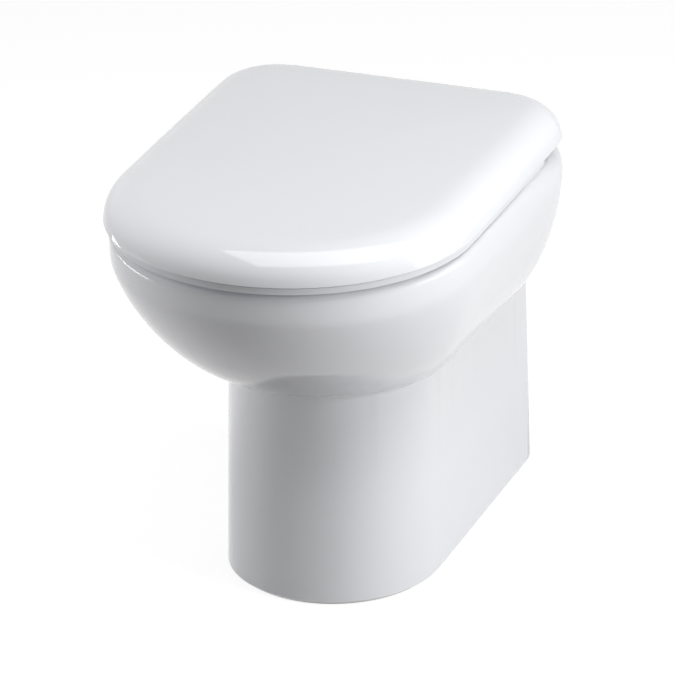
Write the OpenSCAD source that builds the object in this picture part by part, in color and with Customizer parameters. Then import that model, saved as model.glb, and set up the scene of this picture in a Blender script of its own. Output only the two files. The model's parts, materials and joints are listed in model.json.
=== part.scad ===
// Back to wall toilet: a one-piece ceramic pan, a seat ring and a wrap-over lid on two
// hinge pillars. The floor is z = 0, the wall is y = 0 and the front points along -Y.

/* [Pan rim] */
// Height of the rim's top above the floor
rim_z = 389; // [375:1:410]
// Half of the pan's greatest width
rim_half_w = 177.5; // [170:0.5:186]
// Distance from the wall to the front of the rim
rim_reach = 516.5; // [500:0.5:540]
// How much flatter the rim's front is than a half circle, seen from above
rim_flat = 10.5; // [3:0.5:30]
// Radius of the rim's rear corners
rim_rear_r = 117; // [100:1:125]
// Rounding of the rim's upper outer edge
rim_edge_r = 8; // [4:0.5:11]
// Height of the belly's greatest width below the rim's top
belly_drop = 27; // [20:1:34]
// How much fuller the belly is towards the wall than at the front
rear_full = 0.28; // [0:0.02:0.5]
// How much lower the hinge ledge lies than the rim
ledge_drop = 6; // [4:0.5:8]
// Depth of the hinge ledge from the wall
ledge_depth = 118; // [108:1:124]
// Rounding of the ledge's outer edge
ledge_edge_r = 20; // [12:0.5:24]
// Rounding of the ledge's edge against the wall
wall_edge_r = 3; // [1:0.5:5]

/* [Pan pedestal] */
// Half of the pedestal's width at the floor
foot_half_w = 106.5; // [98:0.5:112]
// Distance from the wall to the front of the pedestal at the floor
foot_reach = 372; // [362:1:380]
// Height of the crease below the belly, at the front
crease_front_z = 220; // [212:1:228]
// Height of the crease below the belly, at the wall
crease_wall_z = 207; // [198:1:212]
// Lean of the pedestal's sides, in degrees
side_draft = 0.9; // [0:0.1:1.5]
// Lean of the pedestal's front, in degrees
front_draft = 3.2; // [1:0.1:4]

/* [Pan ceramic] */
// Thickness of the outer wall
skin_t = 12; // [9:0.5:13]
// Thickness of the wall round the basin
basin_t = 10; // [8:0.5:11]
// Thickness of the hinge ledge
ledge_t = 15; // [12:1:18]
// Half of the width of the opening in the rear wall
back_open_half_w = 84; // [76:1:86]

/* [Basin] */
// Half of the basin opening's width
basin_half_w = 121; // [112:1:126]
// Distance from the wall to the front of the basin opening
basin_reach = 470; // [460:1:473]
// Distance from the wall to the rear of the basin opening
basin_rear = 164; // [160:1:172]
// How much flatter the basin's front is than a half circle, seen from above
basin_flat = 6; // [3:0.5:20]
// Radius of the basin's rear corners
basin_rear_r = 78; // [60:1:90]
// How far the basin is undercut below the rim
undercut = 8; // [4:0.5:9]
// Depth of the rim band above the undercut
rim_band = 34; // [28:1:38]
// Half of the sump's width
sump_half_w = 48; // [42:1:52]
// Distance from the wall to the rear of the sump
sump_rear = 212; // [206:1:218]
// Distance from the wall to the front of the sump
sump_front = 300; // [294:1:306]
// Radius of the sump's rear corners
sump_rear_r = 44; // [36:1:44]
// Height of the sump's mouth above the floor
sump_top_z = 214; // [208:1:220]
// Height of the sump's floor
sump_floor_z = 80; // [74:1:88]

/* [Trap and pipes] */
// Radius of the trap's waterway
trap_r = 25; // [22:0.5:26]
// Thickness of the trap's wall
trap_t = 7; // [6:0.5:8]
// Distance from the sump to the trap's rising leg
trap_mouth_len = 42; // [40:1:44]
// Height of the weir that holds the water in the sump
weir_z = 190; // [184:1:196]
// Height of the waste spigot's centre
waste_z = 180; // [174:1:186]
// Outer radius of the waste spigot
waste_r = 51; // [49:0.5:53]
// Bore radius of the waste spigot
waste_bore_r = 42; // [38:0.5:43]
// Distance from the wall to the end of the spigot
waste_end = 32; // [25:1:38]
// Length of the spigot's straight part
waste_len = 48; // [44:1:52]
// Height of the flush inlet's centre
inlet_z = 325; // [320:1:328]
// Bore radius of the flush inlet
inlet_bore_r = 27.5; // [25:0.5:29]
// Thickness of the flush inlet's wall
inlet_t = 9; // [7:0.5:10]
// Distance from the wall to the mouth of the flush inlet
inlet_end = 30; // [24:1:40]
// Depth of the flush inlet's bore
inlet_depth = 100; // [80:1:108]
// Half of the width of the flush outlet under the rim
flush_slot_half_w = 34; // [26:1:40]
// Height of the flush outlet
flush_slot_h = 13; // [9:1:15]

/* [Seat] */
// Height of the seat's underside above the rim
seat_lift = 4; // [3:0.5:5]
// How far the seat's edge lies inside the lid's edge
seat_inset = 3; // [2:0.5:4]
// Height of the seat's outer edge
seat_edge_h = 7.4; // [6:0.1:7.6]
// Height of the seat's crown above its underside
seat_crown_h = 22.5; // [19:0.5:23]
// Half of the width of the seat's opening
seat_open_half_w = 112; // [104:1:116]
// Distance from the wall to the front of the seat's opening
seat_open_reach = 447; // [440:1:452]
// Distance from the wall to the rear of the seat's opening
seat_open_rear = 172; // [166:1:176]
// Radius of the opening's rear corners
seat_open_rear_r = 72; // [60:1:84]
// Distance from the wall to the rear edge of the seat
seat_rear = 125; // [120:1:130]
// Radius of the seat's rear corners
seat_rear_r = 30; // [24:1:34]

/* [Lid] */
// Half of the lid's width
lid_half_w = 180; // [176:0.5:184]
// Distance from the wall to the front of the lid
lid_reach = 525; // [519:1:530]
// How much flatter the lid's front is than a half circle, seen from above
lid_flat = 10; // [3:0.5:30]
// Distance from the wall to the rear edge of the lid
lid_rear = 51; // [49:0.5:52]
// Radius of the lid's rear corners
lid_rear_r = 67; // [56:1:74]
// Gap between the seat's edge and the lid's edge
lid_gap = 1.2; // [0.8:0.1:2]
// Height of the lid's rounded edge
lid_edge_h = 32; // [30:0.5:34]
// Width of the lid's rounded edge, seen from above
lid_edge_w = 41; // [34:1:44]
// Rise of the lid's crown over the rounded edge
lid_crown = 3; // [1.5:0.5:3.5]
// Thickness of the lid
lid_t = 4; // [3:0.1:4.5]

/* [Hinges] */
// Distance between the centres of the two seat fixings
fixing_spacing = 155; // [150:1:160]
// Distance from the wall to the hinge axis
hinge_wall = 61; // [60:0.5:62]
// Height of the hinge axis above the ledge
hinge_rise = 31; // [30.5:0.25:32]
// Radius of the hinge knuckles
knuckle_r = 7; // [6.5:0.1:7.2]
// Radius of the hinge pins
pin_r = 3; // [2.5:0.1:3.3]
// Outer radius of the hinge bushes
bush_r = 4.5; // [4:0.1:5]
// Running clearance between pin and bush
pin_play = 0.05; // [0.03:0.01:0.09]
// Length of a hinge pillar along the axis
pillar_len = 30; // [26:1:32]
// Radius of a hinge pillar's foot
pillar_foot_r = 15; // [13:0.5:16]
// Height of a hinge pillar's foot
pillar_foot_h = 5; // [4:0.5:6]
// Thickness of a hinge pillar's neck
pillar_neck_t = 11; // [10:0.5:11.5]
// Length of the lid's knuckles
lid_knuckle_len = 13.5; // [11:0.5:15]
// Length of the seat's knuckles
seat_knuckle_len = 15; // [12:0.5:17]
// Gap between neighbouring knuckles
knuckle_gap = 1; // [0.8:0.1:1.4]
// Thickness of the bushes' flanges
flange_t = 0.8; // [0.5:0.1:0.8]
// Width of the bushes' flanges
flange_w = 1.7; // [1:0.1:2]
// Radius of the pins' heads and of their caps
head_r = 4.2; // [3.8:0.1:4.4]
// Thickness of the pins' heads and of their caps
head_t = 2; // [1.5:0.1:2.4]

/* [Fixings and buffers] */
// Radius of the seat fixing studs
stud_r = 4; // [3.5:0.1:4.2]
// Radius of the fixing holes in the ledge
fixing_hole_r = 7; // [6.8:0.1:8]
// Thickness of the gaskets under the pillars
gasket_t = 1.5; // [1:0.1:2]
// Radius of the clamping washers
washer_r = 13; // [11:0.5:15]
// Thickness of the clamping washers
washer_t = 3; // [2:0.5:4]
// Height of the wing nuts
nut_h = 12; // [10:1:14]
// Reach of the wing nuts' wings
wing_reach = 19; // [16:1:21]
// Radius of the seat buffers
seat_buffer_r = 8; // [6:0.5:10]
// Radius of the lid buffers
lid_buffer_r = 7; // [5:0.5:8]
// Height of the lid buffers
lid_buffer_h = 8; // [6:0.5:9]
// Radius of the buffers' stems
stem_r = 2.5; // [2:0.1:3]
// Length of the buffers' stems
stem_len = 5; // [4:0.5:6]

/* [Hidden] */
$fn = 64;

// Steps of the outlines' arcs and straights, and of the lofts
front_n = 4;
corner_n = 9;
side_n = 3;
rear_n = 6;
back_n = 2;
belly_n = 11;
basin_n = 7;
edge_n = 6;

// A length that cuts past everything, and one that cuts just past a face
far = 600;
past = 1;

// Rounding of the rim's inner edge, and drop from the rim band to the undercut
lip_r = rim_edge_r / 2;
band_lip = 3;

// The ledge's rounding ends above the belly, and a little of its top is cut off flat. The
// rim's own rounding grows towards the ledge's along the sides
ledge_round = min(ledge_edge_r, belly_drop - ledge_drop - past);
rim_rear_round = min(ledge_edge_r + ledge_drop, belly_drop - past);
ledge_skim = 0.2;

// Derived heights
belly_z = rim_z - belly_drop;
ledge_z = rim_z - ledge_drop;
pocket_z = ledge_z - ledge_t;
band_z = rim_z - rim_band;
seat_z = rim_z + seat_lift;
lid_z = seat_z + seat_edge_h + lid_gap;
lid_top_z = lid_z + lid_edge_h;
axis_y = -hinge_wall;
axis_z = ledge_z + hinge_rise;
crown_z = seat_z + seat_crown_h;
foot_z = ledge_z + gasket_t;
fixing_x = fixing_spacing / 2;

// Belly curve: how quickly it leaves the rim, and how flat it meets the crease
belly_sweep = 86;
belly_out = 1.24;
belly_down = 1.54;

// Places of the hinge's pieces along its axis
pillar_in = fixing_x - pillar_len / 2;
pillar_out = fixing_x + pillar_len / 2;
lid_knuckle_out = pillar_in - knuckle_gap;
lid_knuckle_in = lid_knuckle_out - lid_knuckle_len;
seat_knuckle_in = pillar_out + knuckle_gap;
seat_knuckle_out = seat_knuckle_in + seat_knuckle_len;
head_gap = 0.5;
head_clear = 0.6;
notch_clear = 1.5;
notch_front = hinge_wall + knuckle_r + notch_clear;
notch_out = seat_knuckle_out + head_gap + head_t + notch_clear;

// Places of the buffers, as points seen from above, near the middle of the seat's ring
buffer_in = 3;
buffer_behind = 38;
buffer_front_x = 86;
buffer_front_in = 64;
buffer_side = [(seat_open_half_w + lid_half_w) / 2 - buffer_in, -seat_open_rear - buffer_behind];
buffer_front = [buffer_front_x, buffer_front_in - lid_reach];

function flip(points) = [for (p = points) concat(-p[0], [for (k = [1:len(p) - 1]) p[k]])];
function backwards(list) = [for (i = [len(list) - 1:-1:0]) list[i]];
function mix(a, b, s) = a * (1 - s) + b * s;
function turn(centre, r, a) = centre + r * [sin(a), -cos(a)];

// Half of a D-shaped outline, from the front's middle round to the rear's middle.
// Angles run from 0 at the front to 180 at the rear. The front is an arc of radius w + flat
// that runs into corners of a radius a little less than w. stop_x ends the rear corner
// early where a straight-sided block runs back to the wall.
corner_share = 0.75;
function half_outline(w, reach, flat, rear, rear_r, stop_x) =
    let (
        front_r = w + flat,
        corner_in = flat * corner_share,
        corner_r = w - corner_in,
        turn_a = asin(corner_in / (front_r - corner_r)),
        side_y = front_r - reach - (front_r - corner_r) * cos(turn_a),
        start_y = -rear - rear_r,
        blocked = stop_x > w - rear_r,
        end_a = blocked ? 180 - asin((stop_x - w + rear_r) / rear_r) : 180,
        end_x = blocked ? stop_x : w - rear_r,
        steps = blocked ? rear_n : rear_n + 1
    )
    concat(
        [for (i = [0:front_n]) turn([0, front_r - reach], front_r, turn_a * i / front_n)],
        [for (i = [1:corner_n])
            turn([w - corner_r, side_y], corner_r, mix(turn_a, 90, i / corner_n))],
        [for (i = [1:side_n]) [w, mix(side_y, start_y, i / side_n)]],
        [for (i = [1:rear_n])
            turn([w - rear_r, start_y], rear_r, mix(90, end_a, i / steps))],
        [for (i = [0:back_n]) [end_x * (1 - i / back_n), -rear]]
    );
// The same for the basin, the sump and the seat's opening, grown all round
function long_oval(w, reach, rear, rear_r, grow) =
    half_outline(w + grow, reach + grow, basin_flat, rear - grow, rear_r + grow, 0);
function whole(half) =
    concat(half, backwards(flip([for (i = [1:len(half) - 2]) half[i]])));

// The pedestal's half outline, with its points beside those of a wider outline above it
function foot_outline(reach, w, inset, beside) =
    let (
        r = w,
        side_y = r - reach,
        arc_n = front_n + corner_n,
        first = arc_n + side_n,
        start_y = beside[first][1]
    )
    concat(
        [for (i = [0:arc_n]) turn([0, side_y], r, 90 * i / arc_n)],
        [for (i = [1:side_n]) [w, mix(side_y, start_y, i / side_n)]],
        [for (i = [1:rear_n]) [w, beside[first + i][1]]],
        [for (i = [0:back_n]) [w * (1 - i / back_n), -inset]]
    );

// One closed skin through a list of rings with equal numbers of points, with a single
// point closing each end
function loft_faces(rings, n) = concat(
    [for (i = [0:n - 1]) [0, 1 + i, 1 + (i + 1) % n]],
    [for (k = [0:rings - 2], i = [0:n - 1])
        let (a = 1 + k * n + i, b = 1 + k * n + (i + 1) % n) [a, b + n, b]],
    [for (k = [0:rings - 2], i = [0:n - 1])
        let (a = 1 + k * n + i, b = 1 + k * n + (i + 1) % n) [a, a + n, b + n]],
    [for (i = [0:n - 1])
        let (base = 1 + (rings - 1) * n) [base + i, rings * n + 1, base + (i + 1) % n]]
);
module loft(rings, first, last) {
    n = len(rings[0]);
    points = concat([first], [for (r = rings, p = r) p], [last]);
    polyhedron(points, loft_faces(len(rings), n), convexity = 8);
}
module ring_loft(rings) {
    n = len(rings[0]);
    m = len(rings);
    faces = [for (k = [0:m - 1], i = [0:n - 1], half = [0, 1])
        let (a = k * n + i, b = k * n + (i + 1) % n, up = (k + 1) % m * n, c = up + (i + 1) % n)
        half == 0 ? [a, c, b] : [a, up + i, c]];
    polyhedron([for (r = rings, p = r) p], faces, convexity = 8);
}
function at_z(outline, z) = [for (p = outline) [p[0], p[1], z]];

// ---- Pan ----
function foot_w(z) = foot_half_w - z * tan(side_draft);
function foot_front(z) = foot_reach - z * tan(front_draft);
function rim_outline(inset, z) = half_outline(rim_half_w - inset, rim_reach - inset, rim_flat,
    inset, rim_rear_r - inset, foot_w(z) - inset);
function foot_ring(z, inset) = let (
        half = foot_outline(foot_front(z) - inset, foot_w(z) - inset, inset, rim_outline(inset, z))
    ) whole(half);
function crease_z(y) = mix(crease_wall_z, crease_front_z, min(1, -y / foot_reach));

// How far along its way from the sides to the rear a point of the outline is, and the
// rounding and the height of the upper edge there
sides_start = front_n + corner_n;
sides_end = sides_start + side_n;
function rearward(i) = min(1, max(0, (i - sides_start) / (side_n + 2)));
function edge_r(i) = i > sides_end ? ledge_round : i == sides_end ? rim_rear_round : rim_edge_r;
function edge_z(i) = i > sides_end ? ledge_z + ledge_skim : rim_z;

// A ring of the belly: s = 0 is the rim's outline and s = 1 the pedestal's
function belly_ring(step, inset) =
    let (
        u = belly_sweep * (1 - step / belly_n),
        s = (1 - pow(cos(u), belly_out)) / (1 - pow(cos(belly_sweep), belly_out)),
        t = pow(sin(u), belly_down) / pow(sin(belly_sweep), belly_down),
        level = mix(belly_z, crease_front_z, t),
        top = rim_outline(inset, level),
        low = foot_outline(foot_front(crease_front_z) - inset, foot_w(level) - inset, inset, top),
        plan = whole([for (i = [0:len(top) - 1])
            mix(top[i], low[i], pow(s, 1 + rear_full * rearward(i)))])
    )
    [for (p = plan) [p[0], p[1], mix(belly_z, crease_z(p[1]), t) + inset * t]];
function rim_ring(z, inset) = at_z(whole(rim_outline(inset, z)), z);

// A ring of the upper edge, at angle a of its rounding, and the ring just inside it. Points
// at the wall have a small rounding, so that the rear face stays flat almost to its top.
function edge_ring(a) =
    let (last = len(rim_outline(0, rim_z)) - 1)
    whole([for (i = [0:last])
        let (
            at_wall = i >= last - back_n,
            r = at_wall ? wall_edge_r : edge_r(i),
            z = edge_z(i) - r * (1 - sin(a)),
            p = rim_outline(edge_r(i) * (1 - cos(a)), z)[i]
        )
        [p[0], at_wall ? -r * (1 - cos(a)) : p[1], z]]);
function top_ring() =
    let (last = len(rim_outline(0, rim_z)) - 1)
    at_z(whole([for (i = [0:last]) rim_outline(edge_r(i) + past, rim_z)[i]]), rim_z);

function basin_outline(grow) =
    long_oval(basin_half_w, basin_reach, basin_rear, basin_rear_r, grow);
function sump_outline(grow) =
    long_oval(sump_half_w, sump_front, sump_rear, sump_rear_r, grow);
function basin_ring(step, grow) =
    let (
        v = 90 * step / basin_n,
        wide = basin_outline(undercut + grow),
        low = sump_outline(grow),
        s = 1 - pow(cos(v), 2),
        z = mix(band_z - band_lip, sump_top_z, sin(v))
    )
    at_z(whole([for (i = [0:len(wide) - 1]) mix(wide[i], low[i], s)]), z);
function sump_ring(z, grow) = at_z(whole(sump_outline(grow)), z);

// The sump from its floor up: height above the floor, and how far in from its mouth
sump_curve = [[0, 30], [7, 12], [25, 3]];
function sump_inside(p) = sump_ring(sump_floor_z + p[0], -p[1]);
function sump_outside(p) =
    sump_ring(sump_floor_z + p[0] - basin_t * (1 - p[0] / sump_curve[2][0]), basin_t - p[1]);

function pan_rings() = concat(
    // the pocket, from under the sump out over the rim's inside and down to the foot
    [for (p = sump_curve) sump_outside(p)],
    [for (i = [basin_n:-1:0]) basin_ring(i, basin_t)],
    [at_z(whole(basin_outline(undercut + basin_t)), pocket_z)],
    [rim_ring(pocket_z, skin_t)],
    [for (i = [belly_n:-1:0]) belly_ring(i, skin_t)],
    [at_z(foot_ring(0, skin_t), 0)],
    // the outer skin, from the foot up to the rim
    [at_z(foot_ring(0, 0), 0)],
    [for (i = [0:belly_n]) belly_ring(i, 0)],
    [for (a = [0:22.5:90]) edge_ring(a)],
    [top_ring()],
    // the basin, from the rim's inner edge down to the sump
    [for (a = [90:-45:0])
        at_z(whole(basin_outline(lip_r * (1 - cos(a)))), rim_z - lip_r * (1 - sin(a)))],
    [at_z(whole(basin_outline(0)), band_z)],
    [for (i = [0:basin_n]) basin_ring(i, 0)],
    [for (p = backwards(sump_curve)) sump_inside(p)]
);
sump_mid = -(sump_rear + sump_front) / 2;

// The trap's centre line: from the sump up over the weir, down again and level into the
// spigot. The weir is over 50 mm above the top of the trap's mouth, which seals it with water.
// The two legs stand side by side with one wall between them.
trap_rise = 3;
trap_into_sump = 14;
trap_into_spigot = 3;
elbow_grow = 1;
spigot_start = -waste_end - waste_len;
spigot_wall = waste_r - waste_bore_r;
trap_low = [0, trap_mouth_len - sump_rear, sump_floor_z + trap_r + trap_rise];
trap_up = [0, trap_low[1], weir_z + trap_r];
trap_over = [0, trap_up[1] + 2 * trap_r + trap_t, trap_up[2]];
trap_down = [0, trap_over[1], waste_z];

module pipe(a, b, r) {
    d = b - a;
    lean = atan2(norm([d[0], d[1]]), d[2]);
    translate(a)
        rotate([0, 0, atan2(d[1], d[0])])
            rotate([0, lean, 0])
                cylinder(r = r, h = norm(d));
}
module trap(r, start_y, end_y) {
    line = [[0, start_y, trap_low[2]], trap_low, trap_up, trap_over, trap_down, [0, end_y, waste_z]];
    bends = len(line) - 2;
    for (i = [0:bends])
        pipe(line[i], line[i + 1], r);
    for (i = [1:bends])
        translate(line[i]) sphere(r = r + elbow_grow);
}

// The flush outlet runs from the inlet's far end into the basin
slot_cross = 10;
slot_back = slot_cross - inlet_end - inlet_depth;
slot_front = -basin_rear - undercut - basin_t;

module pan_body() {
    loft(pan_rings(), [0, sump_mid, sump_floor_z - basin_t], [0, sump_mid, sump_floor_z]);
}
module along_y(x, y, z, r, h) {
    translate([x, y, z])
        rotate([-90, 0, 0])
            cylinder(r = r, h = h);
}
module pan() color("white") {
    difference() {
        union() {
            pan_body();
            trap(trap_r + trap_t, elbow_grow - sump_rear, spigot_start + trap_into_spigot);
            along_y(0, spigot_start, waste_z, waste_r, waste_len);
            along_y(0, -basin_rear + undercut, inlet_z, inlet_bore_r + inlet_t,
                basin_rear - undercut - inlet_end);
        }
        trap(trap_r, -sump_rear - trap_into_sump, spigot_start + spigot_wall + past);
        along_y(0, spigot_start + spigot_wall, waste_z, waste_bore_r, far);
        along_y(0, slot_back - slot_cross, inlet_z, inlet_bore_r, inlet_depth + past);
        // flush outlet under the rim
        translate([-flush_slot_half_w, slot_front, band_z - band_lip - flush_slot_h])
            cube([2 * flush_slot_half_w, slot_back - slot_front, flush_slot_h]);
        // opening in the rear wall, down to the floor
        translate([-back_open_half_w, -skin_t - past, -past])
            cube([2 * back_open_half_w, skin_t + 2 * past, pocket_z + past]);
        // hinge ledge
        translate([-far / 2, -ledge_depth, ledge_z])
            cube([far, far, far]);
        for (side = [-1, 1])
            translate([side * fixing_x, axis_y, pocket_z - past])
                cylinder(r = fixing_hole_r, h = ledge_t + 2 * past);
    }
}

// ---- Seat ----
// The seat's section across its ring: how far in from the outer edge, and how high
seat_section = [[0.02, 0], [0, 0.09], [0, 0.9], [0.03, 1]];
seat_crown = [[0.12, 0.08], [0.2, 0.45], [0.32, 0.86], [0.44, 1], [0.6, 1], [0.74, 0.9],
    [0.86, 0.62], [0.95, 0.2]];
seat_inner = [[1, 0.7], [1, 0.3], [0.98, 0]];
function seat_plan(s) = let (
        outer = half_outline(lid_half_w - seat_inset, lid_reach - seat_inset, lid_flat,
            seat_rear, seat_rear_r, 0),
        inner = long_oval(seat_open_half_w, seat_open_reach, seat_open_rear, seat_open_rear_r, 0)
    ) whole([for (i = [0:len(outer) - 1]) mix(outer[i], inner[i], s)]);
function seat_rings() = concat(
    [for (p = seat_section) at_z(seat_plan(p[0]), seat_z + seat_edge_h * p[1])],
    [for (p = seat_crown)
        at_z(seat_plan(p[0]), mix(seat_z + seat_edge_h, crown_z, p[1]))],
    [for (p = seat_inner) at_z(seat_plan(p[0]), seat_z + seat_edge_h * p[1])]
);
module both_sides() {
    children();
    mirror([1, 0, 0]) children();
}
module across(x0, x1, points) {
    translate([x0, 0, 0])
        rotate([90, 0, 90])
            linear_extrude(x1 - x0) polygon(points);
}
module axle(x0, x1, r) {
    translate([x0, axis_y, axis_z])
        rotate([0, 90, 0])
            cylinder(r = r, h = x1 - x0);
}
module buffer_spots(z) {
    for (p = [buffer_side, buffer_front])
        translate([p[0], p[1], z]) children();
}

// The seat's arms, seen from the side: they leave the ring's rear and end in the knuckles
arm_root = seat_rear + 24;
arm_bend = seat_rear - 20;
arm_start = seat_rear - 6;
arm_low = seat_z + 4;
arm_high = crown_z - 6;
arm_profile = [
    [-arm_root, arm_low], [-arm_start, arm_low], [axis_y, axis_z - knuckle_r],
    [axis_y, axis_z + knuckle_r], [-arm_bend, axis_z + knuckle_r], [-arm_root, arm_high]
];
module seat() color("white") {
    difference() {
        union() {
            ring_loft(seat_rings());
            both_sides() {
                across(seat_knuckle_in, seat_knuckle_out, arm_profile);
                axle(seat_knuckle_in, seat_knuckle_out, knuckle_r);
            }
        }
        both_sides() {
            axle(seat_knuckle_in - past, seat_knuckle_out + past, bush_r);
            buffer_spots(seat_z - past) cylinder(r = stem_r, h = stem_len + past);
        }
    }
}

// ---- Lid ----
function lid_plan(inset) = half_outline(lid_half_w - inset, lid_reach - inset, lid_flat,
    lid_rear + inset, lid_rear_r - inset, 0);
function lid_ring(a, skin) =
    let (wide = lid_edge_w - skin, high = lid_edge_h - skin)
    at_z(whole(lid_plan(skin + wide * (1 - cos(a)))), lid_z + high * sin(a));
lid_mid = [0, -(lid_reach + lid_rear) / 2];
function crown_ring(k, skin) =
    [for (p = lid_ring(90, skin))
        let (q = mix(lid_mid, [p[0], p[1]], k)) [q[0], q[1], p[2] + lid_crown * (1 - k * k)]];
function lid_rings() = concat(
    [for (k = [0.4, 0.75]) crown_ring(k, lid_t)],
    [for (i = [4:-1:0]) lid_ring(90 * i / 4, lid_t)],
    [for (i = [0:edge_n]) lid_ring(90 * i / edge_n, 0)],
    [for (k = [0.8, 0.6, 0.35]) crown_ring(k, 0)]
);
boss_z = crown_z + lid_buffer_h;
boss_in = 1.5;

// The ribs that carry the lid's knuckles, seen from the side
rib_front = 21;
rib_profile = [
    [axis_y, axis_z - knuckle_r], [axis_y - rib_front, lid_top_z - 11],
    [axis_y - rib_front, lid_top_z - 3], [axis_y - 9, lid_top_z - 7.5],
    [axis_y - 1, axis_z + knuckle_r], [axis_y, axis_z + knuckle_r]
];
module lid() color("white") {
    difference() {
        union() {
            loft(lid_rings(), [lid_mid[0], lid_mid[1], lid_top_z - lid_t + lid_crown],
                [lid_mid[0], lid_mid[1], lid_top_z + lid_crown]);
            both_sides() {
                axle(lid_knuckle_in, lid_knuckle_out, knuckle_r);
                across(lid_knuckle_in, lid_knuckle_out, rib_profile);
                buffer_spots(boss_z) cylinder(r = lid_buffer_r, h = lid_top_z - boss_z - boss_in);
            }
        }
        both_sides() {
            axle(lid_knuckle_in - past, lid_knuckle_out + past, bush_r);
            buffer_spots(boss_z - past) cylinder(r = stem_r, h = stem_len + past);
            // recess for the pin's head
            axle(lid_knuckle_in - head_gap - head_t - head_clear, lid_knuckle_in, head_r + head_clear);
            // notch that clears the pillar, the seat's knuckle and the pin's cap
            translate([lid_knuckle_out, -notch_front, lid_z - past])
                cube([notch_out - lid_knuckle_out, notch_front, far]);
        }
    }
}

// ---- Hinges ----
// The pillar's foot narrows to its neck, and the stud ends a web below the pin
cone_h = 3;
cone_in = 1;
neck_more = 2;
stud_web = 4;
stud_in = axis_z - pin_r - stud_web - foot_z;
module at_fixing(z) translate([fixing_x, axis_y, z]) children();
module pillar() {
    difference() {
        union() {
            at_fixing(foot_z) cylinder(r = pillar_foot_r, h = pillar_foot_h);
            at_fixing(foot_z + pillar_foot_h)
                cylinder(r1 = pillar_foot_r - cone_in, r2 = pillar_neck_t / 2 + neck_more, h = cone_h);
            translate([pillar_in, axis_y - pillar_neck_t / 2, foot_z + cone_in])
                cube([pillar_len, pillar_neck_t, axis_z - foot_z - cone_in]);
            axle(pillar_in, pillar_out, knuckle_r);
        }
        axle(pillar_in - past, pillar_out + past, pin_r);
        at_fixing(foot_z - past) cylinder(r = stud_r, h = stud_in + past);
    }
}
module pin() {
    axle(lid_knuckle_in - head_gap, seat_knuckle_out + head_gap + head_t, pin_r);
    axle(lid_knuckle_in - head_gap - head_t, lid_knuckle_in - head_gap, head_r);
}
module pin_cap() {
    difference() {
        axle(seat_knuckle_out + head_gap, seat_knuckle_out + head_gap + head_t, head_r);
        axle(seat_knuckle_out, notch_out, pin_r);
    }
}
module bush(x0, x1, flange_x) {
    difference() {
        union() {
            axle(x0, x1, bush_r);
            axle(flange_x, flange_x + flange_t, bush_r + flange_w);
        }
        axle(x0 - flange_t - past, x1 + flange_t + past, pin_r + pin_play);
    }
}
module seat_bush() bush(seat_knuckle_in, seat_knuckle_out, seat_knuckle_in - flange_t);
module lid_bush() bush(lid_knuckle_in, lid_knuckle_out, lid_knuckle_out);
module left() mirror([1, 0, 0]) children();

module hinge_pillar_left() color("silver") left() pillar();
module hinge_pillar_right() color("silver") pillar();
module hinge_pin_left() color("gainsboro") left() pin();
module hinge_pin_right() color("gainsboro") pin();
module pin_cap_left() color("gainsboro") left() pin_cap();
module pin_cap_right() color("gainsboro") pin_cap();
module seat_bush_left() color("ivory") left() seat_bush();
module seat_bush_right() color("ivory") seat_bush();
module lid_bush_left() color("ivory") left() lid_bush();
module lid_bush_right() color("ivory") lid_bush();

// ---- Fixings ----
module stud_bore(z, h) at_fixing(z - past) cylinder(r = stud_r, h = h + 2 * past);
module gasket() {
    difference() {
        at_fixing(ledge_z) cylinder(r = pillar_foot_r, h = gasket_t);
        stud_bore(ledge_z, gasket_t);
    }
}

// The rubber cone's brim lies under the ledge and its nose centres the stud in the hole
brim_t = 2;
nose_h = 8;
nose_play = 0.4;
nose_taper = 1;
module rubber_cone() {
    nose_r = fixing_hole_r - nose_play;
    difference() {
        union() {
            at_fixing(pocket_z - brim_t) cylinder(r = washer_r - cone_in, h = brim_t);
            at_fixing(pocket_z) cylinder(r1 = nose_r, r2 = nose_r - nose_taper, h = nose_h);
        }
        stud_bore(pocket_z - brim_t, brim_t + nose_h);
    }
}
washer_z = pocket_z - brim_t - washer_t;
module clamp_washer() {
    difference() {
        at_fixing(washer_z) cylinder(r = washer_r, h = washer_t);
        stud_bore(washer_z, washer_t);
    }
}
nut_z = washer_z - nut_h;
stud_tail = 8;
stud_z = nut_z - stud_tail;
module stud() at_fixing(stud_z) cylinder(r = stud_r, h = foot_z + stud_in - stud_z);
hub_wall = 4;
hub_r = stud_r + hub_wall;
collar_w = 3;
collar_h = 3;
wing_t = 3;
module wing_nut() {
    difference() {
        union() {
            at_fixing(nut_z) cylinder(r = hub_r, h = nut_h);
            at_fixing(nut_z + nut_h - collar_h) cylinder(r = hub_r + collar_w, h = collar_h);
            at_fixing(nut_z)
                translate([-wing_reach, -wing_t / 2, 0])
                    cube([2 * wing_reach, wing_t, nut_h - collar_h / 2]);
        }
        stud_bore(nut_z, nut_h);
    }
}
module pillar_gaskets() color("dimgray") both_sides() gasket();
module fixing_studs() color("silver") both_sides() stud();
module rubber_cones() color("dimgray") both_sides() rubber_cone();
module clamp_washers() color("ivory") both_sides() clamp_washer();
module wing_nuts() color("ivory") both_sides() wing_nut();

// ---- Buffers ----
module seat_buffer() {
    cylinder(r = seat_buffer_r, h = seat_lift);
    cylinder(r = stem_r, h = seat_lift + stem_len);
}
module lid_buffer() {
    cylinder(r = lid_buffer_r, h = lid_buffer_h);
    cylinder(r = stem_r, h = lid_buffer_h + stem_len);
}
module seat_buffers() color("whitesmoke") both_sides() buffer_spots(rim_z) seat_buffer();
module lid_buffers() color("whitesmoke") both_sides() buffer_spots(crown_z) lid_buffer();

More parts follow.
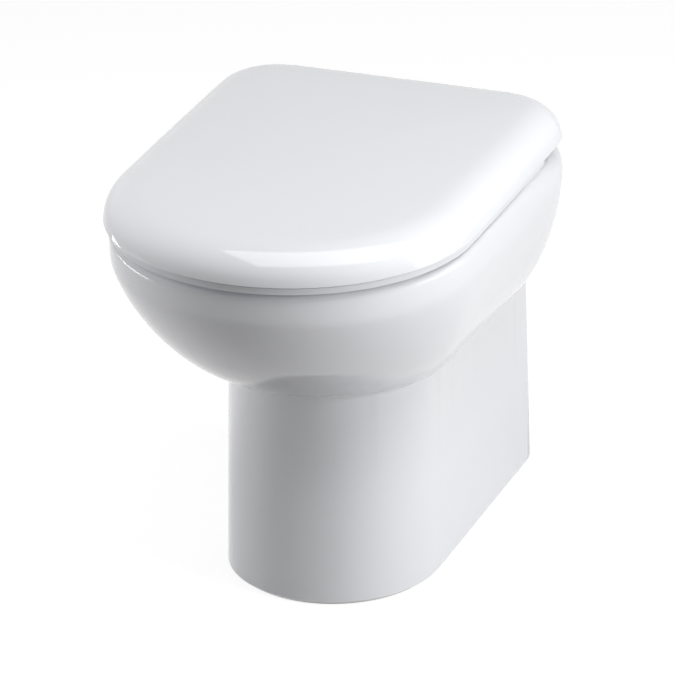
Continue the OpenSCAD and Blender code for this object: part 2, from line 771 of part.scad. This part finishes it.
pan();
seat();
lid();
hinge_pillar_left();
hinge_pillar_right();
hinge_pin_left();
hinge_pin_right();
pin_cap_left();
pin_cap_right();
seat_bush_left();
seat_bush_right();
lid_bush_left();
lid_bush_right();
pillar_gaskets();
fixing_studs();
rubber_cones();
clamp_washers();
wing_nuts();
seat_buffers();
lid_buffers();
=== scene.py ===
# Looks of a back to wall toilet: a glazed china pan, a plastic seat ring and a wrap-over lid.
# Metres, +Z up, the wall is y = 0 and the front of the bowl points along -Y.
import json
import math

import bpy
from mathutils import Matrix, Vector

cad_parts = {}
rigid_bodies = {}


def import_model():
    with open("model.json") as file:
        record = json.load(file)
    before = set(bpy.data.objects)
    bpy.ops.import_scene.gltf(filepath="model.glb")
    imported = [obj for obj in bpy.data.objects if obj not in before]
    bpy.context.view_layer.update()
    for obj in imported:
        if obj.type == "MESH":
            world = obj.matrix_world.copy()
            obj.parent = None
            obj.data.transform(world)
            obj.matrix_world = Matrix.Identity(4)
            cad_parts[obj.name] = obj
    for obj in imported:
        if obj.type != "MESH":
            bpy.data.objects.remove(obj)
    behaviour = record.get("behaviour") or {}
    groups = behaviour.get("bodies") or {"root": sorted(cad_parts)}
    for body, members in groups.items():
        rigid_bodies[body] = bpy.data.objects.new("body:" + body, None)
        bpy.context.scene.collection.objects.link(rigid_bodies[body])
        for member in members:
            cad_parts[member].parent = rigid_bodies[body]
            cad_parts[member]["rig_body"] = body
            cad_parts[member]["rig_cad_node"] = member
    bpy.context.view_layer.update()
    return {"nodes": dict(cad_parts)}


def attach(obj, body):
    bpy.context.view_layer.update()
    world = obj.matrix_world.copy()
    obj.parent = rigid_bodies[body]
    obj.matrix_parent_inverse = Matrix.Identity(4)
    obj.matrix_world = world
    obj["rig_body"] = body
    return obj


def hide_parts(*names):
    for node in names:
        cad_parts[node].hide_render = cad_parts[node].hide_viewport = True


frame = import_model()
nodes = frame["nodes"]


# Small helpers for modelling

helperSettings = {
    "mergeDistance": 0.00001,   # metres
    "quadSkew": 80,             # degrees that a rejoined face may be off square
    "edgeSegments": 2,
}


def deselectAll():
    if bpy.context.object and bpy.context.object.mode != "OBJECT":
        bpy.ops.object.mode_set(mode="OBJECT")
    bpy.ops.object.select_all(action="DESELECT")


def makeActive(piece):
    deselectAll()
    piece.select_set(True)
    bpy.context.view_layer.objects.active = piece


def applyAll(piece):
    makeActive(piece)
    for modifier in list(piece.modifiers):
        bpy.ops.object.modifier_apply(modifier=modifier.name)


def copyOfNode(name, newName):  # a merged copy of a CAD node, free of its body
    makeActive(nodes[name])
    bpy.ops.object.duplicate()
    piece = bpy.context.object
    piece.name = piece.data.name = newName
    bpy.ops.object.parent_clear(type="CLEAR_KEEP_TRANSFORM")
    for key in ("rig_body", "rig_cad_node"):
        del piece[key]
    bpy.ops.object.mode_set(mode="EDIT")
    bpy.ops.mesh.select_all(action="SELECT")
    bpy.ops.mesh.remove_doubles(threshold=helperSettings["mergeDistance"])
    bpy.ops.object.mode_set(mode="OBJECT")
    return piece


def toQuads(piece, flatness):  # turns CAD triangles back into four-sided faces
    makeActive(piece)
    bpy.ops.object.mode_set(mode="EDIT")
    bpy.ops.mesh.select_all(action="SELECT")
    bpy.ops.mesh.tris_convert_to_quads(face_threshold=math.radians(flatness),
                                       shape_threshold=math.radians(helperSettings["quadSkew"]))
    bpy.ops.mesh.select_all(action="DESELECT")
    bpy.ops.object.mode_set(mode="OBJECT")


def creaseSharp(piece, angle, amount):  # edges sharper than the angle stay crisp when subdivided
    makeActive(piece)
    bpy.ops.object.mode_set(mode="EDIT")
    bpy.ops.mesh.select_mode(type="EDGE")
    bpy.ops.mesh.select_all(action="DESELECT")
    bpy.ops.mesh.edges_select_sharp(sharpness=math.radians(angle))
    bpy.ops.transform.edge_crease(value=amount)
    bpy.ops.mesh.select_all(action="DESELECT")
    bpy.ops.mesh.select_mode(type="VERT")
    bpy.ops.object.mode_set(mode="OBJECT")


def smoothBy(piece, angle):
    makeActive(piece)
    bpy.ops.object.shade_smooth_by_angle(angle=math.radians(angle))


def softenEdges(piece, width, angle):
    modifier = piece.modifiers.new("softEdge", "BEVEL")
    modifier.width = width
    modifier.segments = helperSettings["edgeSegments"]
    modifier.limit_method = "ANGLE"
    modifier.angle_limit = math.radians(angle)
    applyAll(piece)


def subdivide(piece, levels):
    modifier = piece.modifiers.new("smooth", "SUBSURF")
    modifier.levels = modifier.render_levels = levels
    applyAll(piece)


# Camera: the photograph's viewing angle

cameraSettings = {
    "azimuth": 21.96,       # degrees from the front towards the right
    "elevation": 24.65,     # degrees above the floor
    "roll": -1.30,
    "distance": 5.311,
    "target": (0.0, -0.2502, 0.2289),
    "lens": 294.4,
    "sensorWidth": 36.0,
    "clip": (0.1, 60.0),
}


def makeCamera(settings):
    a, e = math.radians(settings["azimuth"]), math.radians(settings["elevation"])
    roll = math.radians(settings["roll"])
    back = Vector((math.sin(a) * math.cos(e), -math.cos(a) * math.cos(e), math.sin(e)))
    right = Vector((math.cos(a), math.sin(a), 0.0))
    up = back.cross(right)
    turnedRight = math.cos(roll) * right + math.sin(roll) * up
    turnedUp = math.cos(roll) * up - math.sin(roll) * right
    data = bpy.data.cameras.new("photoCamera")
    data.sensor_width = settings["sensorWidth"]
    data.lens = settings["lens"]
    data.clip_start, data.clip_end = settings["clip"]
    camera = bpy.data.objects.new("photoCamera", data)
    bpy.context.scene.collection.objects.link(camera)
    turned = Matrix((turnedRight, turnedUp, back)).transposed().to_4x4()
    turned.translation = Vector(settings["target"]) + back * settings["distance"]
    camera.matrix_world = turned
    bpy.context.scene.camera = camera


makeCamera(cameraSettings)
print("camera: placed at the photograph's angle")


# Materials

def newMaterial(name):
    material = bpy.data.materials.new(name)
    material.use_nodes = True
    tree = material.node_tree
    tree.nodes.clear()
    output = tree.nodes.new("ShaderNodeOutputMaterial")
    shader = tree.nodes.new("ShaderNodeBsdfPrincipled")
    tree.links.new(shader.outputs["BSDF"], output.inputs["Surface"])
    return material, tree, shader


def noise(tree, scale, detail, roughness=0.5, stretch=(1.0, 1.0, 1.0)):
    place = tree.nodes.new("ShaderNodeTexCoord")
    mapping = tree.nodes.new("ShaderNodeMapping")
    mapping.inputs["Scale"].default_value = stretch
    texture = tree.nodes.new("ShaderNodeTexNoise")
    texture.inputs["Scale"].default_value = scale
    texture.inputs["Detail"].default_value = detail
    texture.inputs["Roughness"].default_value = roughness
    tree.links.new(place.outputs["Object"], mapping.inputs["Vector"])
    tree.links.new(mapping.outputs["Vector"], texture.inputs["Vector"])
    return texture.outputs["Fac"]


def ramp(tree, source, low, high, lowColour, highColour):
    node = tree.nodes.new("ShaderNodeValToRGB")
    node.color_ramp.elements[0].position = low
    node.color_ramp.elements[1].position = high
    node.color_ramp.elements[0].color = (*lowColour, 1.0)
    node.color_ramp.elements[1].color = (*highColour, 1.0)
    tree.links.new(source, node.inputs["Fac"])
    return node.outputs["Color"]


def spread(tree, source, low, high):
    node = tree.nodes.new("ShaderNodeMapRange")
    node.inputs["To Min"].default_value = low
    node.inputs["To Max"].default_value = high
    tree.links.new(source, node.inputs["Value"])
    return node.outputs["Result"]


def bump(tree, source, strength, distance, under=None):
    node = tree.nodes.new("ShaderNodeBump")
    node.inputs["Strength"].default_value = strength
    node.inputs["Distance"].default_value = distance
    tree.links.new(source, node.inputs["Height"])
    if under is not None:
        tree.links.new(under, node.inputs["Normal"])
    return node.outputs["Normal"]


chinaLook = {
    "paleColour": (0.855, 0.862, 0.89), "deepColour": (0.84, 0.848, 0.88),
    "tone": (5.0, 3.0, 0.6), "toneRange": (0.35, 0.7), "roughness": (0.035, 0.06), "ior": 1.5,
    "waves": (9.0, 1.0), "waveStrength": 0.25, "waveHeight": 0.0006,
    "pits": (900.0, 2.0), "pitStrength": 0.15, "pitHeight": 0.00003,
    "clayColour": (0.72, 0.66, 0.57), "clayRoughness": 0.75, "clayTop": (0.0008, 0.0022),
}


def footMask(tree, low, high):  # 1 on the bare clay of the foot, 0 on the glaze above it
    place = tree.nodes.new("ShaderNodeTexCoord")
    parts = tree.nodes.new("ShaderNodeSeparateXYZ")
    edge = tree.nodes.new("ShaderNodeMapRange")
    edge.inputs["From Min"].default_value = high
    edge.inputs["From Max"].default_value = low
    tree.links.new(place.outputs["Object"], parts.inputs[0])
    tree.links.new(parts.outputs["Z"], edge.inputs["Value"])
    return edge.outputs["Result"]


def blend(tree, mask, first, second, kind):
    node = tree.nodes.new("ShaderNodeMix")
    node.data_type = kind
    slots = [socket for socket in node.inputs if socket.enabled]
    tree.links.new(mask, slots[0])
    tree.links.new(first, slots[1])
    slots[2].default_value = second
    return [socket for socket in node.outputs if socket.enabled][0]


def makeChina(look):  # white glaze: slow waves, fine pits and a faint change of tone; a bare foot
    material, tree, shader = newMaterial("glazedChina")
    waves = noise(tree, *look["waves"])
    pits = noise(tree, *look["pits"])
    tone = noise(tree, *look["tone"])
    foot = footMask(tree, *look["clayTop"])
    glaze = ramp(tree, tone, *look["toneRange"], look["deepColour"], look["paleColour"])
    gloss = spread(tree, tone, *look["roughness"])
    clay = (*look["clayColour"], 1.0)
    tree.links.new(blend(tree, foot, glaze, clay, "RGBA"), shader.inputs["Base Color"])
    tree.links.new(blend(tree, foot, gloss, look["clayRoughness"], "FLOAT"),
                   shader.inputs["Roughness"])
    shader.inputs["IOR"].default_value = look["ior"]
    slow = bump(tree, waves, look["waveStrength"], look["waveHeight"])
    fine = bump(tree, pits, look["pitStrength"], look["pitHeight"], slow)
    tree.links.new(fine, shader.inputs["Normal"])
    return material


seatLook = {
    "paleColour": (0.83, 0.838, 0.865), "deepColour": (0.82, 0.828, 0.857),
    "flow": (4.0, 2.0, 0.5, (1.0, 2.0, 1.0)), "flowRange": (0.3, 0.7),
    "roughness": (0.015, 0.03), "ior": 1.5,
    "grain": (1400.0, 1.0), "grainStrength": 0.1, "grainHeight": 0.00002,
}


def makeSeatPlastic(look):
    material, tree, shader = newMaterial("mouldedSeatPlastic")
    flow = noise(tree, *look["flow"])
    grain = noise(tree, *look["grain"])
    colour = ramp(tree, flow, *look["flowRange"], look["deepColour"], look["paleColour"])
    tree.links.new(colour, shader.inputs["Base Color"])
    tree.links.new(spread(tree, flow, *look["roughness"]), shader.inputs["Roughness"])
    shader.inputs["IOR"].default_value = look["ior"]
    tree.links.new(bump(tree, grain, look["grainStrength"], look["grainHeight"]),
                   shader.inputs["Normal"])
    return material


metalLooks = {
    "pillarChrome": {"colour": (0.78, 0.79, 0.80), "roughness": (0.05, 0.13), "scale": 300.0},
    "drawnSteel": {"colour": (0.60, 0.60, 0.61), "roughness": (0.22, 0.38), "scale": 900.0},
}


metalPolish = {
    "detail": 3.0, "noiseRoughness": 0.6, "stretch": (0.2, 1.0, 1.0), "range": (0.3, 0.7),
    "dullShare": 0.9, "strength": 0.12, "height": 0.00002,
}


def makeMetal(name, look):  # fine lines and a slight change of polish
    material, tree, shader = newMaterial(name)
    shared = metalPolish
    polish = noise(tree, look["scale"], shared["detail"], shared["noiseRoughness"],
                   shared["stretch"])
    dull = tuple(shared["dullShare"] * part for part in look["colour"])
    tree.links.new(ramp(tree, polish, *shared["range"], dull, look["colour"]),
                   shader.inputs["Base Color"])
    tree.links.new(spread(tree, polish, *look["roughness"]), shader.inputs["Roughness"])
    tree.links.new(bump(tree, polish, shared["strength"], shared["height"]),
                   shader.inputs["Normal"])
    shader.inputs["Metallic"].default_value = 1.0
    return material


mouldedLooks = {
    "paleNylon": {"colour": (0.80, 0.78, 0.72), "roughness": (0.38, 0.52), "scale": 700.0},
    "darkRubber": {"colour": (0.03, 0.03, 0.03), "roughness": (0.6, 0.8), "scale": 1100.0},
    "bufferRubber": {"colour": (0.76, 0.76, 0.75), "roughness": (0.5, 0.65), "scale": 900.0},
}


mouldedGrain = {
    "detail": 2.0, "noiseRoughness": 0.6, "strength": 0.3, "height": 0.00004,
    "cloud": (60.0, 3.0), "range": (0.3, 0.7), "shadeShare": 0.9,
}


def makeMoulded(name, look):  # matt moulded pieces with a fine grain
    material, tree, shader = newMaterial(name)
    shared = mouldedGrain
    grain = noise(tree, look["scale"], shared["detail"], shared["noiseRoughness"])
    cloud = noise(tree, *shared["cloud"])
    shade = tuple(shared["shadeShare"] * part for part in look["colour"])
    tree.links.new(ramp(tree, cloud, *shared["range"], shade, look["colour"]),
                   shader.inputs["Base Color"])
    tree.links.new(spread(tree, cloud, *look["roughness"]), shader.inputs["Roughness"])
    tree.links.new(bump(tree, grain, shared["strength"], shared["height"]),
                   shader.inputs["Normal"])
    return material


china = makeChina(chinaLook)
seatPlastic = makeSeatPlastic(seatLook)
chrome, steel = [makeMetal(name, look) for name, look in metalLooks.items()]
nylon, rubber, bufferRubber = [makeMoulded(name, look) for name, look in mouldedLooks.items()]
print("materials: made")


def dress(piece, material, slot, body, *stoodFor):
    piece.data.materials.clear()
    piece.data.materials.append(material)
    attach(piece, body)
    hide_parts(*stoodFor)


# Pan, seat and lid: smoothed from their CAD shapes

panShape = {
    "flatness": 14, "creaseAngle": 32, "crease": 0.9, "levels": 1, "smoothAngle": 40,
    "cornerLow": (0.084, -0.021, 0.3695),   # the ledge's rear corners, where it meets the wall
    "cornerHigh": (0.110, -0.0003, 0.3850),
    "cornerPasses": 8, "cornerFactor": 0.5,
}
seatShape = {"flatness": 14, "edge": 0.0007, "edgeAngle": 40, "levels": 2, "smoothAngle": 40}
lidShape = {"flatness": 20, "edge": 0.0007, "edgeAngle": 40, "levels": 2, "smoothAngle": 40}


def easeCorners(piece, low, high, passes, factor):  # evens out the rounding where two radii meet
    makeActive(piece)
    bpy.ops.object.mode_set(mode="EDIT")
    bpy.ops.mesh.select_mode(type="VERT")
    bpy.ops.mesh.select_all(action="DESELECT")
    bpy.ops.object.mode_set(mode="OBJECT")
    for vertex in piece.data.vertices:
        place = (abs(vertex.co.x), vertex.co.y, vertex.co.z)
        vertex.select = all(a <= b <= c for a, b, c in zip(low, place, high))
    bpy.ops.object.mode_set(mode="EDIT")
    bpy.ops.mesh.vertices_smooth(factor=factor, repeat=passes)
    bpy.ops.mesh.select_all(action="DESELECT")
    bpy.ops.object.mode_set(mode="OBJECT")


def makePan(shape):
    piece = copyOfNode("pan", "panBody")
    toQuads(piece, shape["flatness"])
    creaseSharp(piece, shape["creaseAngle"], shape["crease"])
    subdivide(piece, shape["levels"])
    easeCorners(piece, shape["cornerLow"], shape["cornerHigh"], shape["cornerPasses"],
                shape["cornerFactor"])
    smoothBy(piece, shape["smoothAngle"])
    return piece


def smoothedCopy(name, newName, shape):
    piece = copyOfNode(name, newName)
    toQuads(piece, shape["flatness"])
    softenEdges(piece, shape["edge"], shape["edgeAngle"])
    subdivide(piece, shape["levels"])
    smoothBy(piece, shape["smoothAngle"])
    return piece


dress(makePan(panShape), china, "china", "pan", "pan")
dress(smoothedCopy("seat", "seatRing", seatShape), seatPlastic, "seat_plastic", "seat", "seat")
dress(smoothedCopy("lid", "lidShell", lidShape), seatPlastic, "seat_plastic", "lid", "lid")
print("pieces: pan, seat and lid")


# Hinge and fixing pieces: their CAD shapes with softened edges

hardwareAngle = 35  # degrees; sharper edges are rounded and stay sharp in the shading


def softenedCopy(name, newName, width):
    piece = copyOfNode(name, newName)
    softenEdges(piece, width, hardwareAngle)
    smoothBy(piece, hardwareAngle)
    return piece


hardware = {  # node: piece, body, material, slot, edge rounding
    "hinge_pillar_left": ("leftPillar", "pan", chrome, "pillar_chrome", 0.0006),
    "hinge_pillar_right": ("rightPillar", "pan", chrome, "pillar_chrome", 0.0006),
    "hinge_pin_left": ("leftPin", "pan", steel, "pin_steel", 0.0003),
    "hinge_pin_right": ("rightPin", "pan", steel, "pin_steel", 0.0003),
    "pin_cap_left": ("leftPinCap", "pan", steel, "pin_steel", 0.0003),
    "pin_cap_right": ("rightPinCap", "pan", steel, "pin_steel", 0.0003),
    "seat_bush_left": ("leftSeatBush", "seat", nylon, "nylon", 0.0002),
    "seat_bush_right": ("rightSeatBush", "seat", nylon, "nylon", 0.0002),
    "lid_bush_left": ("leftLidBush", "lid", nylon, "nylon", 0.0002),
    "lid_bush_right": ("rightLidBush", "lid", nylon, "nylon", 0.0002),
    "pillar_gaskets": ("pillarGaskets", "pan", rubber, "rubber", 0.0003),
    "rubber_cones": ("rubberCones", "pan", rubber, "rubber", 0.0004),
    "clamp_washers": ("clampWashers", "pan", nylon, "nylon", 0.0005),
    "wing_nuts": ("wingNuts", "pan", nylon, "nylon", 0.0005),
    "seat_buffers": ("seatBuffers", "seat", bufferRubber, "buffer_rubber", 0.0008),
    "lid_buffers": ("lidBuffers", "lid", bufferRubber, "buffer_rubber", 0.0008),
}
for node, (newName, body, material, slot, width) in hardware.items():
    dress(softenedCopy(node, newName, width), material, slot, body, node)
print("pieces: hinges, fixings and buffers")


# Seat fixing studs: a plain shank with a modelled thread below it

studLook = {  # metres; the right-hand stud
    "axis": (0.0775, -0.0610),
    "bottom": 0.3430, "threadTop": 0.3660, "top": 0.4070,
    "radius": 0.0040, "ridge": 0.00055, "pitch": 0.00125, "steps": 24, "edge": 0.0003,
    "sides": 32, "edgeAngle": 35,
}


def rod(look, low, high, radius):
    bpy.ops.mesh.primitive_cylinder_add(vertices=look["sides"], radius=radius, depth=high - low,
                                        location=(*look["axis"], (low + high) / 2))
    piece = bpy.context.object
    softenEdges(piece, look["edge"], look["edgeAngle"])
    return piece


def threadRidge(look):  # a diamond wound round the stud's axis
    root = look["radius"] - look["ridge"]
    start = look["bottom"] + look["pitch"]
    x, y = look["axis"]
    deselectAll()
    bpy.ops.mesh.primitive_circle_add(vertices=4, radius=look["ridge"],
                                      location=(x + root, y, start),
                                      rotation=(math.pi / 2, 0.0, 0.0))
    ridge = bpy.context.object
    bpy.context.scene.cursor.location = (x, y, start)
    bpy.ops.object.origin_set(type="ORIGIN_CURSOR")
    bpy.ops.object.transform_apply(location=False, rotation=True, scale=True)
    winding = ridge.modifiers.new("winding", "SCREW")
    winding.axis = "Z"
    winding.screw_offset = look["pitch"]
    winding.iterations = int((look["threadTop"] - start) / look["pitch"]) - 1
    winding.steps = winding.render_steps = look["steps"]
    applyAll(ridge)
    bpy.ops.object.mode_set(mode="EDIT")
    bpy.ops.mesh.select_all(action="SELECT")
    bpy.ops.mesh.fill_holes(sides=4)
    bpy.ops.mesh.normals_make_consistent(inside=False)
    bpy.ops.mesh.select_all(action="DESELECT")
    bpy.ops.object.mode_set(mode="OBJECT")
    return ridge


def joined(pieces, newName):
    deselectAll()
    for piece in pieces:
        piece.select_set(True)
    bpy.context.view_layer.objects.active = pieces[0]
    bpy.ops.object.join()
    whole = bpy.context.object
    whole.name = whole.data.name = newName
    bpy.ops.object.transform_apply(location=True, rotation=True, scale=True)
    return whole


def makeStuds(look):
    core = look["radius"] - look["ridge"]
    right = joined([rod(look, look["threadTop"], look["top"], look["radius"]),
                    rod(look, look["bottom"], look["threadTop"] + 2 * look["edge"], core),
                    threadRidge(look)], "rightStud")
    makeActive(right)
    bpy.ops.object.duplicate()
    left = bpy.context.object
    bpy.ops.transform.translate(value=(-2 * look["axis"][0], 0.0, 0.0))
    both = joined([right, left], "fixingStuds")
    smoothBy(both, look["edgeAngle"])
    return both


dress(makeStuds(studLook), steel, "pin_steel", "pan", "fixing_studs")
print("pieces: threaded studs")


# Floor, backdrop and light

roomSettings = {"floorSize": 14.0, "worldStrength": 0.02, "floorLift": 0.87, "floorColour": 0.28}


def seenDirectly(tree):  # 1 for the camera and for reflections, 0 for the light on things
    ray = tree.nodes.new("ShaderNodeLightPath")
    first = tree.nodes.new("ShaderNodeMath")
    second = tree.nodes.new("ShaderNodeMath")
    first.operation = second.operation = "MAXIMUM"
    tree.links.new(ray.outputs["Is Camera Ray"], first.inputs[0])
    tree.links.new(ray.outputs["Is Glossy Ray"], first.inputs[1])
    tree.links.new(first.outputs[0], second.inputs[0])
    tree.links.new(ray.outputs["Is Transmission Ray"], second.inputs[1])
    return second.outputs[0]


def makeRoom(settings):
    deselectAll()
    bpy.ops.mesh.primitive_plane_add(size=settings["floorSize"], location=(0, 0, 0))
    floor = bpy.context.object
    floor.name = "floor"
    material = bpy.data.materials.new("paleFloor")
    material.use_nodes = True
    tree = material.node_tree
    tree.nodes.clear()
    output = tree.nodes.new("ShaderNodeOutputMaterial")
    matt = tree.nodes.new("ShaderNodeBsdfDiffuse")
    matt.inputs["Color"].default_value = (settings["floorColour"],) * 3 + (1.0,)
    glow = tree.nodes.new("ShaderNodeEmission")
    lift = tree.nodes.new("ShaderNodeMath")
    lift.operation = "MULTIPLY"
    lift.inputs[1].default_value = settings["floorLift"]
    add = tree.nodes.new("ShaderNodeAddShader")
    tree.links.new(seenDirectly(tree), lift.inputs[0])
    tree.links.new(lift.outputs[0], glow.inputs["Strength"])
    tree.links.new(matt.outputs[0], add.inputs[0])
    tree.links.new(glow.outputs[0], add.inputs[1])
    tree.links.new(add.outputs[0], output.inputs["Surface"])
    floor.data.materials.append(material)


def makeWorld(settings):
    world = bpy.data.worlds.new("studio")
    bpy.context.scene.world = world
    world.use_nodes = True
    tree = world.node_tree
    tree.nodes.clear()
    output = tree.nodes.new("ShaderNodeOutputWorld")
    dim = tree.nodes.new("ShaderNodeBackground")
    dim.inputs["Strength"].default_value = settings["worldStrength"]
    white = tree.nodes.new("ShaderNodeBackground")
    mixed = tree.nodes.new("ShaderNodeMixShader")
    for shade in (dim, white):
        shade.inputs["Color"].default_value = (1.0, 1.0, 1.0, 1.0)
    tree.links.new(seenDirectly(tree), mixed.inputs["Fac"])
    tree.links.new(dim.outputs[0], mixed.inputs[1])
    tree.links.new(white.outputs[0], mixed.inputs[2])
    tree.links.new(mixed.outputs[0], output.inputs["Surface"])


lamps = {  # name: place, aimed at, width and height in metres, watts, what it does
    # (the overhead box looks straight down, turned by these degrees in line with the camera)
    "rightBox": ((2.09, 0.43, 0.53), (0.0, -0.25, 0.40), (1.6, 1.05), 12.0, "mirrored"),
    "rightPanel": ((2.13, -0.67, 0.65), (0.0, -0.25, 0.25), (0.8, 1.2), 32.0, "lights"),
    "leftPanel": ((-2.02, -0.98, 0.75), (0.0, -0.25, 0.25), (0.8, 1.4), 21.0, "lights"),
    "leftStrip": ((-1.24, -0.36, 0.06), (0.0, -0.25, 0.30), (0.8, 0.06), 0.8, "mirrored"),
    "overheadBox": ((0.81, -0.56, 2.45), 22.0, (3.0, 1.8), 49.0, "both"),
}


def makeLamp(name, place, target, size, power, use):
    data = bpy.data.lights.new(name, "AREA")
    data.shape = "RECTANGLE"
    data.size, data.size_y = size
    data.energy = power
    lamp = bpy.data.objects.new(name, data)
    bpy.context.scene.collection.objects.link(lamp)
    lamp.location = place
    lamp.visible_glossy = use != "lights"
    lamp.visible_diffuse = use != "mirrored"
    if isinstance(target, float):
        lamp.rotation_euler = (0.0, 0.0, math.radians(target))
    else:
        lamp.rotation_mode = "QUATERNION"
        lamp.rotation_quaternion = (Vector(target) - Vector(place)).to_track_quat("-Z", "Y")


makeRoom(roomSettings)
makeWorld(roomSettings)
for name, settings in lamps.items():
    makeLamp(name, *settings)
bpy.context.scene.view_settings.view_transform = "Standard"
print("light: world and %d lamps" % len(lamps))

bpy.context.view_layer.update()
for piece in bpy.context.scene.objects:
    if piece.type == "MESH" and not piece.hide_render:
        piece.data.calc_loop_triangles()
        print("triangles: %s %d" % (piece.name, len(piece.data.loop_triangles)))
